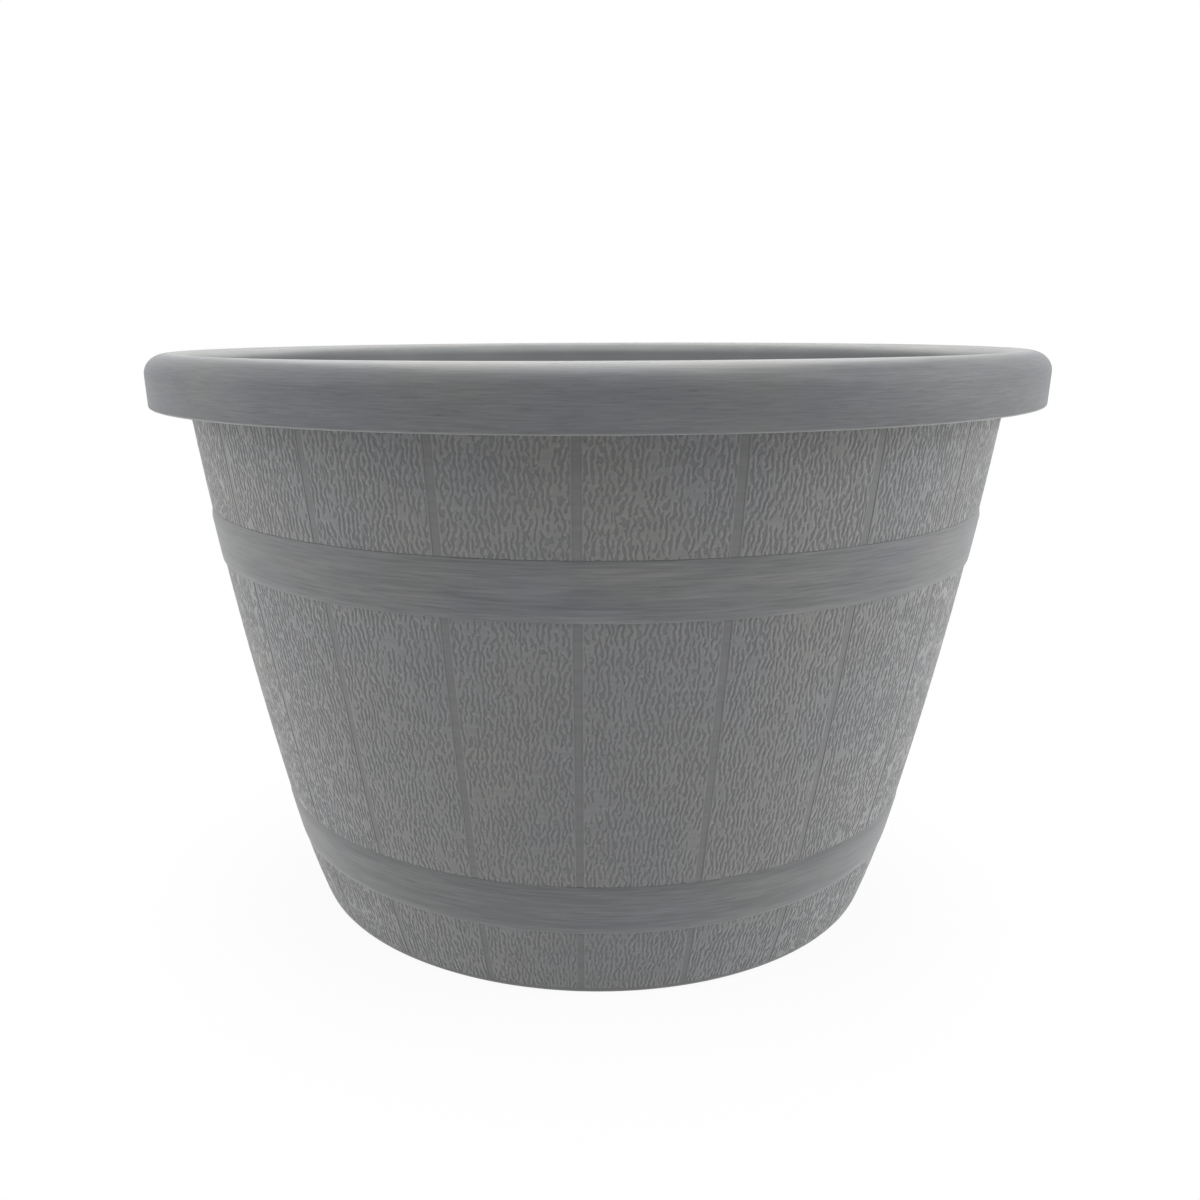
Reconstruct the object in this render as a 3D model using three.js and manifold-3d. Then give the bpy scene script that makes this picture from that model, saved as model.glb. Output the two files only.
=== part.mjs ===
import * as THREE from 'three';
import * as BufferGeometryUtils from 'three/addons/utils/BufferGeometryUtils.js';
import Module from 'manifold-3d';

// Half-barrel planter: one injection-moulded shell that imitates staves and hoops, and four push-in
// drain plugs. Millimetres, +Z up. The origin is on the floor under the middle of the base, and the
// front faces -Y.

const wasm = await Module();
wasm.setup();

// ---- Driving dimensions ----

// shell
const height = 226.5;            // floor to the crown of the rim
const rimRadius = 178.3;         // outermost, at the shoulder of the rim
const rimOverhang = 15.3;        // from the wall to the outside of the rim
const rimDepth = 19.8;           // crown to the lower edge of the skirt
const footRadius = 122.4;        // outside of the wall, produced down to the floor before it tucks in
const wallBulge = 3.2;           // how far the wall bellies out from a straight cone
const footTuck = 1.9;            // how much further the wall draws in at the floor
const tuckHeight = 39;           // height over which it does
const wall = 2.8;                // wall and floor thickness

// rim section
const skirtWall = 2.5;
const skirtDraft = 0.5;          // how much the skirt closes in towards its lower edge
const skirtEdge = 1;             // outer rounding along the bottom of the skirt
const shoulderWidth = 8.5;       // outer rounding, measured inwards from the outside of the rim
const shoulderDrop = 7.4;        // outer rounding, measured down from the crown
const lipDrop = 5.8;             // inner rounding, measured down from the crown

// hoops
const hoopHeight = 20.2;
const hoopLead = 3.4;            // upright strip along the top of a hoop, which lets the mould slide off
const lowerHoopBase = 29.1;
const lowerHoopProud = 0.4;
const upperHoopBase = 147.6;
const upperHoopProud = 0.8;

// staves: their relative widths, a run that repeats round the barrel
const staveWidths = [1, 1, 0.93, 1.03, 1.02, 1.03, 1.04];
const staveRuns = 3;
const firstGap = -51.5;          // degrees from the front towards +X
const gapWidth = 2.8;
const gapDepth = 0.5;
const gapRunOut = 6;             // how far the gaps run on up behind the skirt

// base
const footHeight = 6;            // the raised floor's underside over the foot ring
const footWidth = 9;             // flat ring that the planter stands on
const footEdge = 2.4;            // outer rounding of the foot
const stepDraft = 0.8;           // taper of the step from the foot ring to the raised floor
const innerFillet = 4;
const drainCount = 4;
const drainRadius = 6;
const drainPitchRadius = 88;

// drain plugs
const plugClearance = 0.3;       // round the shank and under the flange
const plugWall = 1.3;
const plugReach = 2.5;           // shank below the underside of the raised floor
const plugLead = 0.8;            // chamfer at the end of the shank
const flangeOverlap = 4;         // flange beyond the edge of the drain hole
const flangeThickness = 1.8;
const flangeEdge = 0.5;
const tabWidth = 12;
const tabHeight = 7;
const tabThickness = 2.2;
const tabRoot = 0.6;             // tab sunk into the flange that it is moulded with

// facets round a full turn
const shellFacets = 60;
const drainFacets = 24;
const plugFacets = 20;
const tabFacets = 8;             // round the half circle of the tab

// ---- Shared shape of the wall ----

const skirtBase = height - rimDepth;
const neckRadius = rimRadius - rimOverhang;
const shoulderHeight = height - shoulderDrop;
const crownRadius = rimRadius - shoulderWidth;
const floorTop = footHeight + wall;

// Outside of the wall: a cone from the foot to the neck, bellied out by wallBulge halfway up, and drawn in
// by footTuck over its lowest part.
function wallRadius(z) {
  const t = z / skirtBase;
  const low = Math.max(0, 1 - z / tuckHeight);
  return footRadius + (neckRadius - footRadius) * t + 4 * wallBulge * t * (1 - t) - footTuck * low * low;
}

function innerRadius(z) {
  return wallRadius(z) - wall;
}

// Points up the wall between two heights, both included.
function wallPoints(radiusAt, from, to, steps) {
  const points = [];
  for (let i = 0; i <= steps; i++) {
    const z = from + (to - from) * i / steps;
    points.push(new THREE.Vector2(radiusAt(z), z));
  }
  return points;
}

// Points on an ellipse's arc, both ends included; angles in quarter turns from the outward radius.
function arcPoints(centreRadius, centreHeight, radiusAcross, radiusUp, from, to, steps) {
  const points = [];
  for (let i = 0; i <= steps; i++) {
    const angle = (from + (to - from) * i / steps) * Math.PI / 2;
    points.push(new THREE.Vector2(
      centreRadius + radiusAcross * Math.cos(angle),
      centreHeight + radiusUp * Math.sin(angle)));
  }
  return points;
}

// A hoop's section, from its proud lower edge to where its upright lead runs out flush with the wall.
function hoopPoints(base, proud) {
  const top = base + hoopHeight;
  const bandTop = top - hoopLead;
  const leadRadius = Math.min(wallRadius(top), wallRadius(bandTop) + proud);
  return [
    new THREE.Vector2(wallRadius(base) + proud, base),
    new THREE.Vector2(wallRadius((base + bandTop) / 2) + proud, (base + bandTop) / 2),
    new THREE.Vector2(leadRadius, bandTop),
    new THREE.Vector2(wallRadius(top), top),
  ];
}

// ---- Solids ----

function toSolid(geometry) {
  geometry.deleteAttribute('normal');
  geometry.deleteAttribute('uv');
  const merged = BufferGeometryUtils.mergeVertices(geometry, 1e-4);
  const corners = Array.from(merged.index.array);
  const kept = [];
  for (let i = 0; i < corners.length; i += 3) {
    const [a, b, c] = corners.slice(i, i + 3);
    if (a !== b && b !== c && c !== a) kept.push(a, b, c);
  }
  return new wasm.Manifold(new wasm.Mesh({
    numProp: 3,
    vertProperties: new Float32Array(merged.attributes.position.array),
    triVerts: new Uint32Array(kept),
  }));
}

function toGeometry(solid) {
  const mesh = solid.getMesh();
  const geometry = new THREE.BufferGeometry();
  geometry.setAttribute('position', new THREE.BufferAttribute(mesh.vertProperties, 3));
  geometry.setIndex(new THREE.BufferAttribute(mesh.triVerts, 1));
  geometry.computeVertexNormals();
  return geometry;
}

function revolve(points, facets) {
  return new THREE.LatheGeometry(points, facets).rotateX(Math.PI / 2);
}

// ---- Shell ----

// One closed section: out under the raised floor, round the foot, up the wall with its hoops, through the
// hollow of the rim, over the crown, and down the inner wall to the floor.
function shellSection() {
  const ringInner = wallRadius(footEdge) - footEdge - footWidth;
  const troughInner = ringInner + wall;
  const troughRoom = innerRadius(wall) - troughInner;
  const fillet = Math.min(innerFillet, troughRoom / 2);
  const filletTop = wall + fillet;
  const skirtOuter = rimRadius - skirtDraft;
  const lipHeight = height - lipDrop;
  const hollowHeight = shoulderDrop - skirtWall;
  const hollowInner = crownRadius - wallRadius(shoulderHeight);
  return [
    new THREE.Vector2(0, footHeight),
    new THREE.Vector2(ringInner - stepDraft, footHeight),
    new THREE.Vector2(ringInner, 0),
    ...arcPoints(wallRadius(footEdge) - footEdge, footEdge, footEdge, footEdge, -1, 0, 3),
    ...wallPoints(wallRadius, footEdge, lowerHoopBase, 2).slice(1),
    ...hoopPoints(lowerHoopBase, lowerHoopProud),
    ...wallPoints(wallRadius, lowerHoopBase + hoopHeight, upperHoopBase, 5).slice(1),
    ...hoopPoints(upperHoopBase, upperHoopProud),
    ...wallPoints(wallRadius, upperHoopBase + hoopHeight, shoulderHeight, 3).slice(1),
    ...arcPoints(crownRadius, shoulderHeight, hollowInner, hollowHeight, 2, 1, 2).slice(1),
    ...arcPoints(crownRadius, shoulderHeight, shoulderWidth - skirtWall, hollowHeight, 1, 0, 2).slice(1),
    new THREE.Vector2(skirtOuter - skirtWall, skirtBase),
    ...arcPoints(skirtOuter - skirtEdge, skirtBase + skirtEdge, skirtEdge, skirtEdge, -1, 0, 2),
    ...arcPoints(crownRadius, shoulderHeight, shoulderWidth, shoulderDrop, 0, 1, 4),
    ...arcPoints(crownRadius, lipHeight, crownRadius - innerRadius(lipHeight), lipDrop, 1, 2, 3).slice(1),
    ...wallPoints(innerRadius, lipHeight, filletTop, 5).slice(1),
    ...arcPoints(innerRadius(filletTop) - fillet, filletTop, fillet, fillet, 0, -1, 2).slice(1),
    new THREE.Vector2(troughInner, wall),
    new THREE.Vector2(troughInner - stepDraft, floorTop),
    new THREE.Vector2(0, floorTop),
  ];
}

// Angles of the gaps between staves, in radians from the front towards +X.
function gapAngles() {
  const runTotal = staveWidths.reduce((sum, width) => sum + width, 0);
  const perWidth = 360 / staveRuns / runTotal;
  const angles = [];
  let angle = firstGap;
  for (let run = 0; run < staveRuns; run++) {
    for (const width of staveWidths) {
      angles.push(THREE.MathUtils.degToRad(angle));
      angle += width * perWidth;
    }
  }
  return angles;
}

// The blade that cuts one gap over one height of bare wall: its inner edge follows the wall at gapDepth.
function gapBlade(from, to, steps) {
  const inner = wallPoints((z) => wallRadius(z) - gapDepth, from, to, steps);
  const clear = upperHoopProud + gapDepth;
  const outline = new THREE.Shape([
    ...inner,
    new THREE.Vector2(wallRadius(to) + clear, to),
    new THREE.Vector2(wallRadius(from) + clear, from),
  ].reverse());
  return new THREE.ExtrudeGeometry(outline, { depth: gapWidth, bevelEnabled: false })
    .translate(0, 0, -gapWidth / 2)
    .rotateX(Math.PI / 2);
}

function shellGeometry() {
  let shell = toSolid(revolve(shellSection(), shellFacets));
  const blades = [
    gapBlade(-footEdge, lowerHoopBase, 2),
    gapBlade(lowerHoopBase + hoopHeight, upperHoopBase, 5),
    gapBlade(upperHoopBase + hoopHeight, skirtBase + gapRunOut, 2),
  ];
  for (const angle of gapAngles()) {
    for (const blade of blades) {
      shell = shell.subtract(toSolid(blade.clone().rotateZ(angle - Math.PI / 2)));
    }
  }
  const drill = new THREE.CylinderGeometry(drainRadius, drainRadius, 3 * wall, drainFacets)
    .rotateX(Math.PI / 2)
    .translate(drainPitchRadius, 0, footHeight + wall / 2);
  for (let i = 0; i < drainCount; i++) {
    shell = shell.subtract(toSolid(drill.clone().rotateZ(drainAngle(i))));
  }
  return toGeometry(shell);
}

function drainAngle(i) {
  return 2 * Math.PI * (i + 0.5) / drainCount;
}

// ---- Drain plug ----

// A hollow shank under a flange, with a pull tab across the top, about its own axis at the seat's height.
function plugGeometry() {
  const shankRadius = drainRadius - plugClearance;
  const flangeRadius = drainRadius + flangeOverlap;
  const shankEnd = -(wall + plugClearance + plugReach);
  const section = [
    new THREE.Vector2(0, 0),
    new THREE.Vector2(shankRadius - plugWall, 0),
    new THREE.Vector2(shankRadius - plugWall, shankEnd),
    new THREE.Vector2(shankRadius - plugLead, shankEnd),
    new THREE.Vector2(shankRadius, shankEnd + plugLead),
    new THREE.Vector2(shankRadius, 0),
    new THREE.Vector2(flangeRadius, 0),
    new THREE.Vector2(flangeRadius, flangeThickness - flangeEdge),
    new THREE.Vector2(flangeRadius - flangeEdge, flangeThickness),
    new THREE.Vector2(0, flangeThickness),
  ];
  const tabShoulder = tabHeight - tabWidth / 2;
  const outline = new THREE.Shape();
  outline.moveTo(-tabWidth / 2, -tabRoot);
  outline.lineTo(tabWidth / 2, -tabRoot);
  outline.lineTo(tabWidth / 2, tabShoulder);
  outline.absarc(0, tabShoulder, tabWidth / 2, 0, Math.PI);
  const tab = new THREE.ExtrudeGeometry(outline, {
    depth: tabThickness, bevelEnabled: false, curveSegments: tabFacets })
    .translate(0, 0, -tabThickness / 2)
    .rotateX(Math.PI / 2)
    .translate(0, 0, flangeThickness);
  return toGeometry(toSolid(revolve(section, plugFacets)).add(toSolid(tab)));
}

// ---- Assembly ----

const planter = new THREE.Group();

const shellMaterial = new THREE.MeshStandardMaterial({
  color: 0x76787b, roughness: 0.55, metalness: 0, flatShading: true });
const shell = new THREE.Mesh(shellGeometry(), shellMaterial);
shell.name = 'planter_shell';
planter.add(shell);

const plugBody = plugGeometry();
for (let i = 0; i < drainCount; i++) {
  const plugMaterial = new THREE.MeshStandardMaterial({
    color: 0x2f3032, roughness: 0.7, metalness: 0, flatShading: true });
  const plug = new THREE.Mesh(plugBody, plugMaterial);
  plug.name = `drain_plug_${i + 1}`;
  plug.rotation.z = drainAngle(i);
  plug.position.set(
    drainPitchRadius * Math.cos(drainAngle(i)),
    drainPitchRadius * Math.sin(drainAngle(i)),
    floorTop + plugClearance);
  planter.add(plug);
}

export default planter;
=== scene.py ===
import math

import bmesh
import bpy
import numpy as np
from mathutils import Matrix, Vector


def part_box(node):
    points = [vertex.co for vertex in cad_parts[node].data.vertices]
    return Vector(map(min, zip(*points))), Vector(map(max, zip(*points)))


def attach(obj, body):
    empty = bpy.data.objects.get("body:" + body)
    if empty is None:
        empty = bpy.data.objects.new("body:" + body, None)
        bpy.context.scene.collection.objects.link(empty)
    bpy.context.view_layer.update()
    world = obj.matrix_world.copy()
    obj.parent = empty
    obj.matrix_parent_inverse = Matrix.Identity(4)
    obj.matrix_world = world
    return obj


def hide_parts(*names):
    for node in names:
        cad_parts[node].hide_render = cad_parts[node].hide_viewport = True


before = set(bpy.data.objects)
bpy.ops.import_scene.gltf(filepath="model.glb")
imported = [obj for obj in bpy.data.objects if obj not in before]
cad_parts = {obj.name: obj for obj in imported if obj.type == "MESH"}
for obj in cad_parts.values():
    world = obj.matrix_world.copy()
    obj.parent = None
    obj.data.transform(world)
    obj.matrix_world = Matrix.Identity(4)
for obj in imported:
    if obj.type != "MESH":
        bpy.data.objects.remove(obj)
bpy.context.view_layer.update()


# ---- Camera ----
# The planter is seen from in front and a little above its rim, from half a metre away, so the near side
# looms over the small foot and the mouth closes to a thin ellipse.

camera_distance = 0.48989
camera_height = 0.23595
camera_pitch = 0.2363
camera_turn = 0.0308
camera_roll = -0.0047

camera_data = bpy.data.cameras.new("camera")
camera_data.lens = 34.185
camera_data.sensor_width = 36.0
camera_data.shift_x = 0.0352
camera_data.clip_start = 0.01
camera = bpy.data.objects.new("camera", camera_data)
camera.matrix_world = (
    Matrix.Translation((0.0, -camera_distance, camera_height))
    @ Matrix.Rotation(camera_turn, 4, "Z")
    @ Matrix.Rotation(math.pi / 2 - camera_pitch, 4, "X")
    @ Matrix.Rotation(camera_roll, 4, "Z")
)
bpy.context.scene.collection.objects.link(camera)
bpy.context.scene.camera = camera
bpy.context.scene.view_settings.view_transform = "Standard"


# ---- Light ----
# Soft panels in a white studio: one behind and one close overhead that light the crown of the rim, two high
# in front and two at the sides, over a white table that glows a little from below.

def soft_panel(name, place, target, width, height, watts, colour):
    panel = bpy.data.lights.new(name, "AREA")
    panel.color = colour
    panel.shape = "RECTANGLE"
    panel.size = width
    panel.size_y = height
    panel.energy = watts
    lamp = bpy.data.objects.new(name, panel)
    aim = Vector(target) - Vector(place)
    lamp.matrix_world = Matrix.Translation(place) @ aim.to_track_quat("-Z", "Y").to_matrix().to_4x4()
    bpy.context.scene.collection.objects.link(lamp)


tent_light = 0.03
middle = (0.0, 0.0, 0.11)
warm_white = (1.0, 0.985, 0.94)
cool_white = (0.985, 0.993, 1.0)
soft_panel("panel_back", (0.0, 1.0, 1.2), middle, 1.4, 1.0, 14.0, warm_white)
soft_panel("panel_over", (0.0, -0.05, 0.75), middle, 0.5, 0.5, 3.8, warm_white)
soft_panel("panel_front_left", (-0.9, -0.7, 1.0), middle, 0.8, 0.8, 3.8, cool_white)
soft_panel("panel_front_right", (0.9, -0.7, 1.0), middle, 0.8, 0.8, 3.8, cool_white)
soft_panel("panel_left", (-1.2, -0.2, 0.5), middle, 1.0, 0.9, 4.2, cool_white)
soft_panel("panel_right", (1.2, -0.2, 0.5), middle, 1.0, 0.9, 7.0, cool_white)


# 1 for the rays that show the white backdrop as it is, and 0 for those that gather light.
def straight_rays(tree):
    rays = tree.nodes.new("ShaderNodeLightPath")
    total = rays.outputs["Is Camera Ray"]
    for kind in ("Is Glossy Ray", "Is Transmission Ray"):
        either = tree.nodes.new("ShaderNodeMath")
        either.operation = "MAXIMUM"
        tree.links.new(total, either.inputs[0])
        tree.links.new(rays.outputs[kind], either.inputs[1])
        total = either.outputs[0]
    return total


world = bpy.data.worlds.new("light_tent")
world.use_nodes = True
bpy.context.scene.world = world
tent = world.node_tree
tent.nodes.clear()
dim = tent.nodes.new("ShaderNodeBackground")
dim.inputs["Color"].default_value = (1.0, 1.0, 1.0, 1.0)
dim.inputs["Strength"].default_value = tent_light
white = tent.nodes.new("ShaderNodeBackground")
white.inputs["Color"].default_value = (1.0, 1.0, 1.0, 1.0)
white.inputs["Strength"].default_value = 1.0

mixed = tent.nodes.new("ShaderNodeMixShader")
tent.links.new(straight_rays(tent), mixed.inputs["Fac"])
tent.links.new(dim.outputs[0], mixed.inputs[1])
tent.links.new(white.outputs[0], mixed.inputs[2])
tent_out = tent.nodes.new("ShaderNodeOutputWorld")
tent.links.new(mixed.outputs[0], tent_out.inputs["Surface"])


# ---- Floor ----
# A sheet of white card, wide enough to run out of sight behind the planter. It glows a little, and away from
# the foot its own shade fades into plain white.

floor_reach = 8.0
card_shade = 0.8
table_glow = 0.30
fade_start = 0.12
fade_end = 0.26
white_share = 0.90

sheet = bmesh.new()
bmesh.ops.create_grid(sheet, x_segments=2, y_segments=2, size=floor_reach)
floor_mesh = bpy.data.meshes.new("floor")
sheet.to_mesh(floor_mesh)
sheet.free()
floor = bpy.data.objects.new("floor", floor_mesh)
bpy.context.scene.collection.objects.link(floor)

card = bpy.data.materials.new("white_card")
card.use_nodes = True
card_nodes = card.node_tree
card_nodes.nodes.clear()
paper = card_nodes.nodes.new("ShaderNodeBsdfDiffuse")
paper.inputs["Color"].default_value = (card_shade, card_shade, card_shade, 1.0)
glow = card_nodes.nodes.new("ShaderNodeEmission")
glow.inputs["Strength"].default_value = 1.0

# Near the planter the card shows a tenth of its shade, so the contact shadow stays, and further out none.
spot = card_nodes.nodes.new("ShaderNodeTexCoord")
away = card_nodes.nodes.new("ShaderNodeVectorMath")
away.operation = "LENGTH"
card_nodes.links.new(spot.outputs["Object"], away.inputs[0])
fade = card_nodes.nodes.new("ShaderNodeMapRange")
fade.inputs["From Min"].default_value = fade_start
fade.inputs["From Max"].default_value = fade_end
fade.inputs["To Min"].default_value = white_share
fade.inputs["To Max"].default_value = 1.0
card_nodes.links.new(away.outputs["Value"], fade.inputs["Value"])
share = card_nodes.nodes.new("ShaderNodeMath")
share.operation = "MULTIPLY"
card_nodes.links.new(fade.outputs[0], share.inputs[1])
card_nodes.links.new(straight_rays(card_nodes), share.inputs[0])
lit = card_nodes.nodes.new("ShaderNodeEmission")
lit.inputs["Strength"].default_value = table_glow
table = card_nodes.nodes.new("ShaderNodeAddShader")
card_nodes.links.new(paper.outputs[0], table.inputs[0])
card_nodes.links.new(lit.outputs[0], table.inputs[1])
blend = card_nodes.nodes.new("ShaderNodeMixShader")
card_nodes.links.new(share.outputs[0], blend.inputs["Fac"])
card_nodes.links.new(table.outputs[0], blend.inputs[1])
card_nodes.links.new(glow.outputs[0], blend.inputs[2])
card_out = card_nodes.nodes.new("ShaderNodeOutputMaterial")
card_nodes.links.new(blend.outputs[0], card_out.inputs["Surface"])
floor_mesh.materials.append(card)


# ---- Shell core ----
# The moulding without its stave faces: the thin tapered wall at the depth of the gaps, two proud hoops,
# the rolled rim with its turned-down skirt, the foot ring, and the raised floor with its drain holes.

_, shell_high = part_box("planter_shell")
height = shell_high.z
rim_radius = shell_high.x
rim_overhang = 0.0153
rim_depth = 0.0198
foot_radius = 0.1224
wall_bulge = 0.0032
foot_tuck = 0.0019
tuck_height = 0.039
wall = 0.0028
skirt_base = height - rim_depth
neck_radius = rim_radius - rim_overhang

skirt_wall = 0.0025
skirt_draft = 0.0005
skirt_edge = 0.001
shoulder_width = 0.0085
shoulder_drop = 0.0074
lip_drop = 0.0058

hoop_height = 0.0202
hoop_lead = 0.0034
hoop_edge = 0.00025
hoops = ((0.0291, 0.0004), (0.1476, 0.0008))

gap_depth = 0.0002
foot_height = 0.006
foot_width = 0.009
foot_edge = 0.0024
step_draft = 0.0008
inner_fillet = 0.004
drain_count = 4
drain_radius = 0.006
drain_pitch_radius = 0.088

core_columns = 360
drill_columns = 64
drill_depth = 4 * wall
weld_distance = 1e-6
sharp_angle = math.radians(40)

resin_ior = 1.49
sheen_roughness = 0.5

edge_margin = 1e-5
rim_margin = 0.001
least_upward = -0.5
outer_share = 0.6


def wall_radius(z):
    t = z / skirt_base
    low = np.maximum(0, 1 - z / tuck_height)
    return foot_radius + (neck_radius - foot_radius) * t + 4 * wall_bulge * t * (1 - t) - foot_tuck * low**2


def gap_radius(z):
    return wall_radius(z) - gap_depth


def inner_radius(z):
    return wall_radius(z) - wall


def wall_run(radius_at, start, end, steps):
    heights = [start + (end - start) * i / steps for i in range(steps + 1)]
    return [(radius_at(z), z) for z in heights]


def arc(centre, across, up, start, end, steps):
    turns = [math.pi / 2 * (start + (end - start) * i / steps) for i in range(steps + 1)]
    return [(centre[0] + across * math.cos(a), centre[1] + up * math.sin(a)) for a in turns]


def hoop_run(base, proud):
    top = base + hoop_height
    band_top = top - hoop_lead
    band = wall_run(lambda z: wall_radius(z) + proud, base, band_top, 6)
    lead_radius = min(wall_radius(top), band[-1][0])
    return (
        [(gap_radius(base), base), (band[0][0] - hoop_edge, base), (band[0][0], base + hoop_edge)]
        + band[1:]
        + [(lead_radius, top - hoop_edge), (lead_radius - hoop_edge, top), (gap_radius(top), top)]
    )


def core_section():
    ring_inner = wall_radius(foot_edge) - foot_edge - foot_width
    trough_inner = ring_inner + wall
    fillet = min(inner_fillet, (inner_radius(wall) - trough_inner) / 2)
    fillet_top = wall + fillet
    crown_radius = rim_radius - shoulder_width
    shoulder = (crown_radius, height - shoulder_drop)
    lip = (crown_radius, height - lip_drop)
    skirt_outer = rim_radius - skirt_draft
    hollow_drop = shoulder_drop - skirt_wall
    hollow_inner = crown_radius - gap_radius(shoulder[1])
    floor_top = foot_height + wall
    (low_base, low_proud), (high_base, high_proud) = hoops
    low_top = low_base + hoop_height
    high_top = high_base + hoop_height
    return (
        [(0.0, foot_height), (ring_inner - step_draft, foot_height), (ring_inner, 0.0)]
        + arc((gap_radius(foot_edge) - foot_edge, foot_edge), foot_edge, foot_edge, -1, 0, 6)
        + wall_run(gap_radius, foot_edge, low_base, 8)[1:-1]
        + hoop_run(low_base, low_proud)
        + wall_run(gap_radius, low_top, high_base, 14)[1:-1]
        + hoop_run(high_base, high_proud)
        + wall_run(gap_radius, high_top, shoulder[1], 8)[1:]
        + arc(shoulder, hollow_inner, hollow_drop, 2, 1, 5)[1:]
        + arc(shoulder, shoulder_width - skirt_wall, hollow_drop, 1, 0, 5)[1:]
        + [(skirt_outer - skirt_wall, skirt_base)]
        + arc((skirt_outer - skirt_edge, skirt_base + skirt_edge), skirt_edge, skirt_edge, -1, 0, 4)
        + arc(shoulder, shoulder_width, shoulder_drop, 0, 1, 14)
        + arc(lip, crown_radius - inner_radius(lip[1]), lip_drop, 1, 2, 10)[1:]
        + wall_run(inner_radius, lip[1], fillet_top, 20)[1:]
        + arc((inner_radius(fillet_top) - fillet, fillet_top), fillet, fillet, 0, -1, 6)[1:]
        + [(trough_inner, wall), (trough_inner - step_draft, floor_top), (0.0, floor_top)]
    )


def new_object(name, mesh):
    obj = bpy.data.objects.new(name, mesh)
    bpy.context.scene.collection.objects.link(obj)
    return obj


def finish_mesh(shape, name):
    bmesh.ops.recalc_face_normals(shape, faces=shape.faces)
    for face in shape.faces:
        face.smooth = True
    mesh = bpy.data.meshes.new(name)
    shape.to_mesh(mesh)
    shape.free()
    mesh.set_sharp_from_angle(angle=sharp_angle)
    return mesh


def turned(section, columns):
    shape = bmesh.new()
    corners = [shape.verts.new((radius, 0.0, z)) for radius, z in section]
    edges = [shape.edges.new(pair) for pair in zip(corners, corners[1:])]
    bmesh.ops.spin(shape, geom=corners + edges, cent=(0, 0, 0), axis=(0, 0, 1),
                   angle=2 * math.pi, steps=columns, use_merge=True)
    bmesh.ops.remove_doubles(shape, verts=shape.verts, dist=weld_distance)
    return shape


def drain_angle(i):
    return 2 * math.pi * (i + 0.5) / drain_count


def drilled(mesh):
    drills = bmesh.new()
    for i in range(drain_count):
        shift = Matrix.Translation((drain_pitch_radius, 0, foot_height))
        bmesh.ops.create_cone(drills, cap_ends=True, segments=drill_columns, radius1=drain_radius,
                              radius2=drain_radius, depth=drill_depth,
                              matrix=Matrix.Rotation(drain_angle(i), 4, "Z") @ shift)
    drill_mesh = bpy.data.meshes.new("drills")
    drills.to_mesh(drill_mesh)
    drills.free()
    drill = new_object("drills", drill_mesh)
    blank = new_object("blank", mesh)
    cut = blank.modifiers.new("drains", "BOOLEAN")
    cut.operation = "DIFFERENCE"
    cut.solver = "EXACT"
    cut.object = drill
    result = bpy.data.meshes.new_from_object(blank.evaluated_get(bpy.context.evaluated_depsgraph_get()))
    bpy.data.objects.remove(blank)
    bpy.data.objects.remove(drill)
    return result


# Coordinates for streaks that run round the barrel: slow along the ring, quick across the section.
def ring_streaks(tree, along, across):
    place = tree.nodes.new("ShaderNodeTexCoord")
    parts = tree.nodes.new("ShaderNodeSeparateXYZ")
    tree.links.new(place.outputs["Object"], parts.inputs[0])
    flat = tree.nodes.new("ShaderNodeCombineXYZ")
    tree.links.new(parts.outputs["X"], flat.inputs["X"])
    tree.links.new(parts.outputs["Y"], flat.inputs["Y"])
    radius = tree.nodes.new("ShaderNodeVectorMath")
    radius.operation = "LENGTH"
    tree.links.new(flat.outputs[0], radius.inputs[0])
    drop = tree.nodes.new("ShaderNodeMath")
    drop.operation = "SUBTRACT"
    tree.links.new(parts.outputs["Z"], drop.inputs[0])
    tree.links.new(radius.outputs["Value"], drop.inputs[1])
    joined = tree.nodes.new("ShaderNodeCombineXYZ")
    tree.links.new(parts.outputs["X"], joined.inputs["X"])
    tree.links.new(parts.outputs["Y"], joined.inputs["Y"])
    tree.links.new(drop.outputs[0], joined.inputs["Z"])
    stretch = tree.nodes.new("ShaderNodeMapping")
    stretch.inputs["Scale"].default_value = (along, along, across)
    tree.links.new(joined.outputs[0], stretch.inputs["Vector"])
    return stretch.outputs[0]


def noise(tree, vector, scale, detail, roughness=0.5, distortion=0.0):
    cloud = tree.nodes.new("ShaderNodeTexNoise")
    cloud.inputs["Scale"].default_value = scale
    cloud.inputs["Detail"].default_value = detail
    cloud.inputs["Roughness"].default_value = roughness
    cloud.inputs["Distortion"].default_value = distortion
    tree.links.new(vector, cloud.inputs["Vector"])
    return cloud.outputs["Fac"]


def ramp(tree, value, stops):
    scale = tree.nodes.new("ShaderNodeValToRGB")
    while len(scale.color_ramp.elements) < len(stops):
        scale.color_ramp.elements.new(0.5)
    for element, (position, colour) in zip(scale.color_ramp.elements, stops):
        element.position = position
        element.color = (*colour, 1.0)
    tree.links.new(value, scale.inputs["Fac"])
    return scale.outputs["Color"]


def mix_colour(tree, mode, factor, first, second):
    mix = tree.nodes.new("ShaderNodeMix")
    mix.data_type = "RGBA"
    mix.blend_type = mode
    mix.clamp_result = True
    if isinstance(factor, float):
        mix.inputs["Factor"].default_value = factor
    else:
        tree.links.new(factor, mix.inputs["Factor"])
    tree.links.new(first, mix.inputs["A"])
    tree.links.new(second, mix.inputs["B"])
    return mix.outputs["Result"]


def bump(tree, value, depth):
    relief = tree.nodes.new("ShaderNodeBump")
    relief.inputs["Strength"].default_value = 1.0
    relief.inputs["Distance"].default_value = depth
    tree.links.new(value, relief.inputs["Height"])
    return relief


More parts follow.
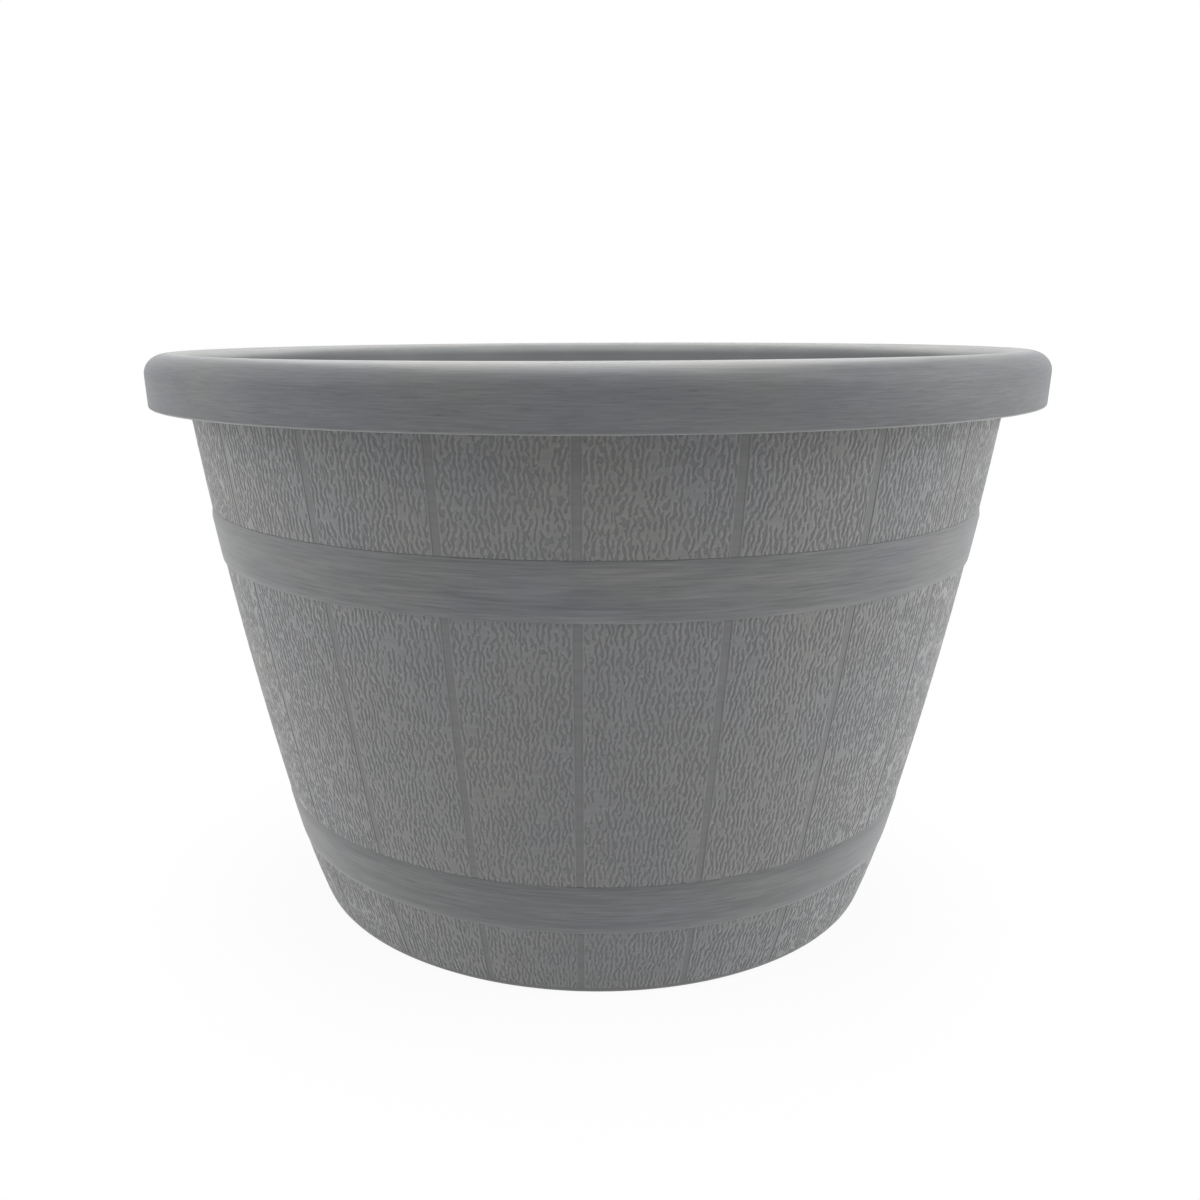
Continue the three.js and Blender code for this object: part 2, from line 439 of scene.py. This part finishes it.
def resin(name, roughness, specular=0.25, sheen=0.0):
    material = bpy.data.materials.new(name)
    material.use_nodes = True
    tree = material.node_tree
    shader = tree.nodes["Principled BSDF"]
    shader.inputs["Roughness"].default_value = roughness
    shader.inputs["IOR"].default_value = resin_ior
    shader.inputs["Specular IOR Level"].default_value = specular
    shader.inputs["Sheen Weight"].default_value = sheen
    shader.inputs["Sheen Roughness"].default_value = sheen_roughness
    return material, tree, shader


# Broad patches that lean a little to warm or to cool, as in the photograph.
def tinted(tree, colour):
    place = tree.nodes.new("ShaderNodeTexCoord")
    cloud = noise(tree, place.outputs["Object"], 24.0, 3.0)
    tint = ramp(tree, cloud, [(0.40, (1.0, 1.0, 0.965)), (0.60, (0.96, 0.97, 1.0))])
    return mix_colour(tree, "MULTIPLY", 1.0, colour, tint)


def plain_resin():
    material, tree, shader = resin("plain_resin", 0.42)
    place = tree.nodes.new("ShaderNodeTexCoord")
    cloud = noise(tree, place.outputs["Object"], 28.0, 4.0)
    colour = ramp(tree, cloud, [(0.3, (0.150, 0.155, 0.162)), (0.7, (0.185, 0.190, 0.197))])
    tree.links.new(colour, shader.inputs["Base Color"])
    pebble = noise(tree, place.outputs["Object"], 1400.0, 3.0)
    tree.links.new(bump(tree, pebble, 0.00006).outputs[0], shader.inputs["Normal"])
    return material


def rim_resin():
    material, tree, shader = resin("rim_resin", 0.42)
    fine = noise(tree, ring_streaks(tree, 90.0, 1900.0), 1.0, 4.0, 0.6, 0.2)
    broad = noise(tree, ring_streaks(tree, 22.0, 160.0), 1.0, 4.0, 0.55)
    strokes = noise(tree, ring_streaks(tree, 120.0, 1100.0), 1.0, 2.0, 0.5)
    base = ramp(tree, fine, [(0.30, (0.146, 0.150, 0.157)), (0.70, (0.198, 0.202, 0.209))])
    wash = ramp(tree, broad, [(0.3, (0.87, 0.88, 0.90)), (0.65, (1.0, 1.0, 1.0))])
    dark = ramp(tree, strokes, [(0.66, (1.0, 1.0, 1.0)), (0.72, (0.84, 0.86, 0.90))])
    washed = mix_colour(tree, "MULTIPLY", 1.0, base, wash)
    colour = tinted(tree, mix_colour(tree, "MULTIPLY", 1.0, washed, dark))
    tree.links.new(colour, shader.inputs["Base Color"])
    tree.links.new(bump(tree, fine, 0.00006).outputs[0], shader.inputs["Normal"])
    return material


def hoop_resin():
    material, tree, shader = resin("hoop_resin", 0.42, 0.25, 0.3)
    fine = noise(tree, ring_streaks(tree, 55.0, 1500.0), 1.0, 4.0, 0.6, 0.2)
    broad = noise(tree, ring_streaks(tree, 14.0, 240.0), 1.0, 4.0, 0.55)
    base = ramp(tree, fine, [(0.30, (0.142, 0.145, 0.150)), (0.70, (0.214, 0.217, 0.222))])
    wash = ramp(tree, broad, [(0.3, (0.84, 0.85, 0.87)), (0.65, (1.0, 1.0, 1.0))])
    colour = tinted(tree, mix_colour(tree, "MULTIPLY", 1.0, base, wash))
    tree.links.new(colour, shader.inputs["Base Color"])
    tree.links.new(bump(tree, fine, 0.00008).outputs[0], shader.inputs["Normal"])
    return material


def gap_resin():
    material, tree, shader = resin("gap_resin", 0.45, 0.25, 0.5)
    brush = noise(tree, ring_streaks(tree, 60.0, 700.0), 1.0, 4.0, 0.6)
    colour = ramp(tree, brush, [(0.3, (0.148, 0.150, 0.153)), (0.7, (0.176, 0.178, 0.181))])
    tree.links.new(colour, shader.inputs["Base Color"])
    tree.links.new(bump(tree, brush, 0.00004).outputs[0], shader.inputs["Normal"])
    return material


core_mesh = drilled(finish_mesh(turned(core_section(), core_columns), "shell_blank"))
core_mesh.name = "shell_core"
core_mesh.set_sharp_from_angle(angle=sharp_angle)
for finish in (plain_resin(), rim_resin(), hoop_resin(), gap_resin()):
    core_mesh.materials.append(finish)


def is_hoop(radius, z):
    beside = any(base - edge_margin <= z <= base + hoop_height + edge_margin for base, _ in hoops)
    return beside and radius > gap_radius(z)


for face in core_mesh.polygons:
    radius = math.hypot(face.center.x, face.center.y)
    z = face.center.z
    above_skirt = z > skirt_base - edge_margin and radius > neck_radius + rim_margin
    on_rim = above_skirt and face.normal.z > least_upward
    outside = radius > wall_radius(z) - outer_share * wall
    if on_rim and (radius > rim_radius - skirt_wall or z > height - skirt_wall):
        face.material_index = 1
    elif is_hoop(radius, z):
        face.material_index = 2
    elif outside and foot_edge / 2 < z < height - shoulder_drop:
        face.material_index = 3
    else:
        face.material_index = 0

core = new_object("shell_core", core_mesh)
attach(core, "shell")
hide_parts("planter_shell")


# ---- Staves ----
# Twenty-one imitation stave faces, moulded with the wall: flat-bottomed gaps between them, a soft raised
# border, and short wandering furrows with lips, as tooled into the mould.

stave_widths = (1, 1, 0.93, 1.03, 1.02, 1.03, 1.04)
stave_runs = 3
first_gap = -51.5
front_turn = -90
gap_width = 0.0028
stave_sink = 0.0003
stave_zones = (
    (foot_edge, hoops[0][0]),
    (hoops[0][0] + hoop_height, hoops[1][0]),
    (hoops[1][0] + hoop_height, height - shoulder_drop),
)
column_pitch = 0.0003
row_pitch = 0.00072
back_rows = 4

grain_seed = 7
grain_cell = 0.0002
furrow_pitch = 0.0017
furrow_stretch = 2.3
pitch_spread = 150.0
slant_share = 0.22
furrow_share = 0.36
furrow_shoulder = 0.35
wobble = 0.00026
wobble_reach = (0.0006, 0.0005)
break_share = 0.35
break_reach = (0.0012, 0.0016)
break_depth = 0.7
break_limit = -1.5
edge_softness = (0.0001, 0.00014)
lip_gain = 2.8
lip_loss = 3.0
lip_reach = 0.00034
furrow_depth = 0.00034
lip_height = 0.00012
# Furrow strength below the upper hoop. The full, darker furrows above it are partly painted shade under the
# rim.
furrow_share_below_rim_shade = 0.85
last_row_margin = 1.001

border_line = 0.00025
border_spread = 0.0002
border_strength = 0.5
border_rounding = 0.0002
border_drop = 0.00008

mean_radius = wall_radius(height / 2)


def blurred(picture, across, up):
    rows, columns = picture.shape
    over = np.fft.fftfreq(rows, grain_cell)[:, None] * up
    along = np.fft.rfftfreq(columns, grain_cell)[None, :] * across
    falloff = np.exp(-2 * np.pi**2 * (over**2 + along**2))
    return np.fft.irfft2(np.fft.rfft2(picture) * falloff, s=picture.shape)


def cloud_picture(rng, shape, reach):
    cloud = blurred(rng.normal(size=shape), *reach)
    return (cloud - cloud.mean()) / cloud.std()


def soft_step(values):
    values = np.clip(values + 0.5, 0, 1)
    return values * values * (3 - 2 * values)


# The furrows are the crests of ripples that mostly run upright and fork, a second cloud bends them and a
# third one thins them out. The lips are what they push up beside them. Both pictures wrap round the barrel.
def grain_pictures(seed, columns, rows):
    rng = np.random.default_rng(seed)
    shape = (rows, columns)
    up = np.fft.fftfreq(rows, grain_cell)[:, None] * furrow_stretch
    across = np.fft.rfftfreq(columns, grain_cell)[None, :]
    waves = np.hypot(across, up)
    band = np.exp(-0.5 * ((waves - 1 / furrow_pitch) / pitch_spread) ** 2)
    band = band * (slant_share + (1 - slant_share) * (across / np.maximum(waves, 1)) ** 2)
    ripples = np.fft.irfft2(np.fft.rfft2(rng.normal(size=shape)) * band, s=shape)
    ripples = ripples / ripples.std()
    bend = np.round(cloud_picture(rng, shape, wobble_reach) * wobble / grain_cell).astype(int)
    row, column = np.indices(shape)
    ripples = ripples[row, (column + bend) % columns]
    breaks = cloud_picture(rng, shape, break_reach)
    ripples = ripples + break_depth * np.clip(breaks - np.quantile(breaks, break_share), break_limit, 0)
    furrow = soft_step((ripples - np.quantile(ripples, 1 - furrow_share)) / furrow_shoulder)
    furrow = blurred(furrow, *edge_softness)
    lip = np.clip(lip_gain * blurred(furrow, lip_reach, lip_reach) - lip_loss * furrow, 0, 1)
    return furrow, lip


def sampled(picture, x, z):
    rows, columns = picture.shape
    column = x / grain_cell
    row = np.clip(z / grain_cell, 0, rows - last_row_margin)
    left = np.floor(column).astype(int)
    low = np.floor(row).astype(int)
    a = column - left
    b = row - low
    first = picture[low, left % columns] * (1 - a) + picture[low, (left + 1) % columns] * a
    second = picture[low + 1, left % columns] * (1 - a) + picture[low + 1, (left + 1) % columns] * a
    return first * (1 - b) + second * b


def stave_angles():
    per_width = 360 / stave_runs / sum(stave_widths)
    angles = [first_gap]
    for width in stave_widths * stave_runs:
        angles.append(angles[-1] + width * per_width)
    return [math.radians(angle + front_turn) for angle in angles]


def stave_mesh(name, start, end):
    shape = bmesh.new()
    for low, high in stave_zones:
        front = wall_run(wall_radius, low, high, round((high - low) / row_pitch))
        back = wall_run(lambda z: gap_radius(z) - stave_sink, high, low, back_rows)
        shape.faces.new([shape.verts.new((radius, 0, z)) for radius, z in front + back])
    bmesh.ops.rotate(shape, verts=shape.verts, cent=(0, 0, 0), matrix=Matrix.Rotation(start, 3, "Z"))
    spun = bmesh.ops.spin(shape, geom=shape.verts[:] + shape.edges[:] + shape.faces[:], cent=(0, 0, 0),
                          axis=(0, 0, 1), angle=end - start, steps=1)
    far = set(item for item in spun["geom_last"] if isinstance(item, bmesh.types.BMVert))
    across = [edge for edge in shape.edges if (edge.verts[0] in far) != (edge.verts[1] in far)]
    columns = round((end - start) * mean_radius / column_pitch)
    bmesh.ops.subdivide_edges(shape, edges=across, cuts=columns - 1, use_grid_fill=True)
    return finish_mesh(shape, name)


def carve_stave(mesh, start, end):
    corners = np.empty(len(mesh.vertices) * 3)
    mesh.vertices.foreach_get("co", corners)
    corners = corners.reshape(-1, 3)
    mid = 0.5 * (start + end)
    half = 0.5 * (end - start)
    turn = np.arctan2(corners[:, 1], corners[:, 0])
    off = np.mod(turn - mid + math.pi, 2 * math.pi) - math.pi
    radius = np.hypot(corners[:, 0], corners[:, 1]) * np.cos(off) / math.cos(half)
    z = corners[:, 2]
    front = radius > gap_radius(z)
    around = np.mod(turn, 2 * math.pi) * mean_radius
    furrow = sampled(grain_furrow, around, z)
    lip = sampled(grain_lip, around, z)
    edge = (half - np.abs(off)) * radius
    rounding = np.clip(1 - edge / border_rounding, 0, 1) ** 2
    raised = np.exp(-((edge - border_line) / border_spread) ** 2)
    plain = np.clip((edge - border_line) / border_line, 0, 1)
    # Above the upper hoop the furrows keep their full depth and darkness, and lower down they are weaker.
    # The zone under the rim therefore comes out darker, partly from deeper relief and partly as painted
    # shade of the rim.
    furrow = furrow * plain * np.where(z > hoops[1][0], 1.0, furrow_share_below_rim_shade)
    lip = np.maximum(lip * plain, border_strength * raised)
    relief = lip_height * lip - furrow_depth * furrow - border_drop * rounding
    radius = np.where(front, radius + relief, radius)
    corners[:, 0] = radius * np.cos(turn)
    corners[:, 1] = radius * np.sin(turn)
    mesh.vertices.foreach_set("co", corners.ravel())
    grain_and_groove_shade = mesh.attributes.new("grain_and_groove_shade", "FLOAT", "POINT")
    # Furrows are stored low and lips high. The colour drawn from this makes the furrows dark, partly as a
    # dark base coat and partly as painted shade inside the grooves.
    grain_and_groove_shade.data.foreach_set("value", np.where(front, 0.5 * (1 + lip - furrow), 0.5))
    mesh.update()


def stave_resin():
    material, tree, shader = resin("stave_resin", 0.38, 0.4, 0.62)
    grain_and_groove_shade = tree.nodes.new("ShaderNodeAttribute")
    grain_and_groove_shade.attribute_name = "grain_and_groove_shade"
    # Furrows go near black, partly the dark base of a dry-brushed finish and partly painted shade in the
    # grooves; the lips take the lighter dry-brushed tone.
    stops = [(0.00, (0.058, 0.060, 0.062)), (0.50, (0.193, 0.195, 0.198)), (0.95, (0.236, 0.238, 0.241))]
    tone_with_groove_shade = ramp(tree, grain_and_groove_shade.outputs["Fac"], stops)
    brush = noise(tree, ring_streaks(tree, 60.0, 1000.0), 1.0, 5.0, 0.6)
    wash = ramp(tree, brush, [(0.3, (0.83, 0.83, 0.835)), (0.7, (1.0, 1.0, 1.0))])
    colour = tinted(tree, mix_colour(tree, "MULTIPLY", 1.0, tone_with_groove_shade, wash))
    tree.links.new(colour, shader.inputs["Base Color"])
    tree.links.new(bump(tree, brush, 0.00005).outputs[0], shader.inputs["Normal"])
    return material


grain_columns = round(2 * math.pi * mean_radius / grain_cell)
grain_rows = round(height / grain_cell)
grain_furrow, grain_lip = grain_pictures(grain_seed, grain_columns, grain_rows)
stave_finish = stave_resin()
angles = stave_angles()
for i, (start, end) in enumerate(zip(angles, angles[1:])):
    trim = 0.5 * gap_width / mean_radius
    mesh = stave_mesh(f"stave_{i + 1:02d}", start + trim, end - trim)
    carve_stave(mesh, start + trim, end - trim)
    mesh.materials.append(stave_finish)
    stave = new_object(f"stave_{i + 1:02d}", mesh)
    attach(stave, "shell")


# ---- Drain plugs ----
# Four soft stoppers that push into the drain holes from inside: a hollow shank under a round flange, and
# a half-round tab across it to pull it out by.

plug_clearance = 0.0003
plug_wall = 0.0013
plug_reach = 0.0025
plug_lead = 0.0008
flange_overlap = 0.004
flange_thickness = 0.0018
flange_edge = 0.0005
tab_width = 0.012
tab_height = 0.007
tab_thickness = 0.0022
tab_root = 0.0006
tab_edge = 0.0004
tab_steps = 24
plug_columns = 72
bevel_angle = 1.2


def plug_shape():
    shank_radius = drain_radius - plug_clearance
    flange_radius = drain_radius + flange_overlap
    shank_end = -(wall + plug_clearance + plug_reach)
    flange_turn = (flange_radius - flange_edge, flange_thickness - flange_edge)
    section = (
        [(0, 0), (shank_radius - plug_wall, 0), (shank_radius - plug_wall, shank_end)]
        + [(shank_radius - plug_lead, shank_end), (shank_radius, shank_end + plug_lead), (shank_radius, 0)]
        + [(flange_radius, 0)]
        + arc(flange_turn, flange_edge, flange_edge, 0, 1, 4)
        + [(0, flange_thickness)]
    )
    shape = turned(section, plug_columns)
    shoulder = tab_height - tab_width / 2
    outline = [(tab_width / 2, -tab_root)]
    outline += arc((0, shoulder), tab_width / 2, tab_width / 2, 0, 2, tab_steps)
    outline.append((-tab_width / 2, -tab_root))
    corners = [shape.verts.new((x, -tab_thickness / 2, flange_thickness + z)) for x, z in outline]
    side = shape.faces.new(corners)
    grown = bmesh.ops.extrude_face_region(shape, geom=[side])["geom"]
    moved = [item for item in grown if isinstance(item, bmesh.types.BMVert)]
    bmesh.ops.translate(shape, verts=moved, vec=(0, tab_thickness, 0))
    faces = {face for corner in corners + moved for face in corner.link_faces}
    rims = [edge for edge in shape.edges if len(edge.link_faces) == 2 and set(edge.link_faces) <= faces
            and edge.calc_face_angle() > bevel_angle]
    bmesh.ops.bevel(shape, geom=rims, offset=tab_edge, offset_type="OFFSET", segments=3, profile=0.5,
                    affect="EDGES", material=-1)
    return shape


def plug_rubber():
    material = bpy.data.materials.new("plug_rubber")
    material.use_nodes = True
    tree = material.node_tree
    shader = tree.nodes["Principled BSDF"]
    shader.inputs["Roughness"].default_value = 0.62
    place = tree.nodes.new("ShaderNodeTexCoord")
    cloud = noise(tree, place.outputs["Object"], 120.0, 5.0)
    colour = ramp(tree, cloud, [(0.3, (0.018, 0.019, 0.021)), (0.7, (0.034, 0.035, 0.037))])
    tree.links.new(colour, shader.inputs["Base Color"])
    pebble = noise(tree, place.outputs["Object"], 2600.0, 3.0)
    tree.links.new(bump(tree, pebble, 0.00004).outputs[0], shader.inputs["Normal"])
    return material


plug_finish = plug_rubber()
for i in range(drain_count):
    shape = plug_shape()
    seat = Matrix.Rotation(drain_angle(i), 4, "Z") @ Matrix.Translation(
        (drain_pitch_radius, 0, foot_height + wall + plug_clearance))
    bmesh.ops.transform(shape, matrix=seat, verts=shape.verts)
    mesh = finish_mesh(shape, f"plug_{i + 1}")
    mesh.materials.append(plug_finish)
    plug = new_object(f"plug_{i + 1}", mesh)
    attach(plug, f"plug_{i + 1}")
    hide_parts(f"drain_plug_{i + 1}")
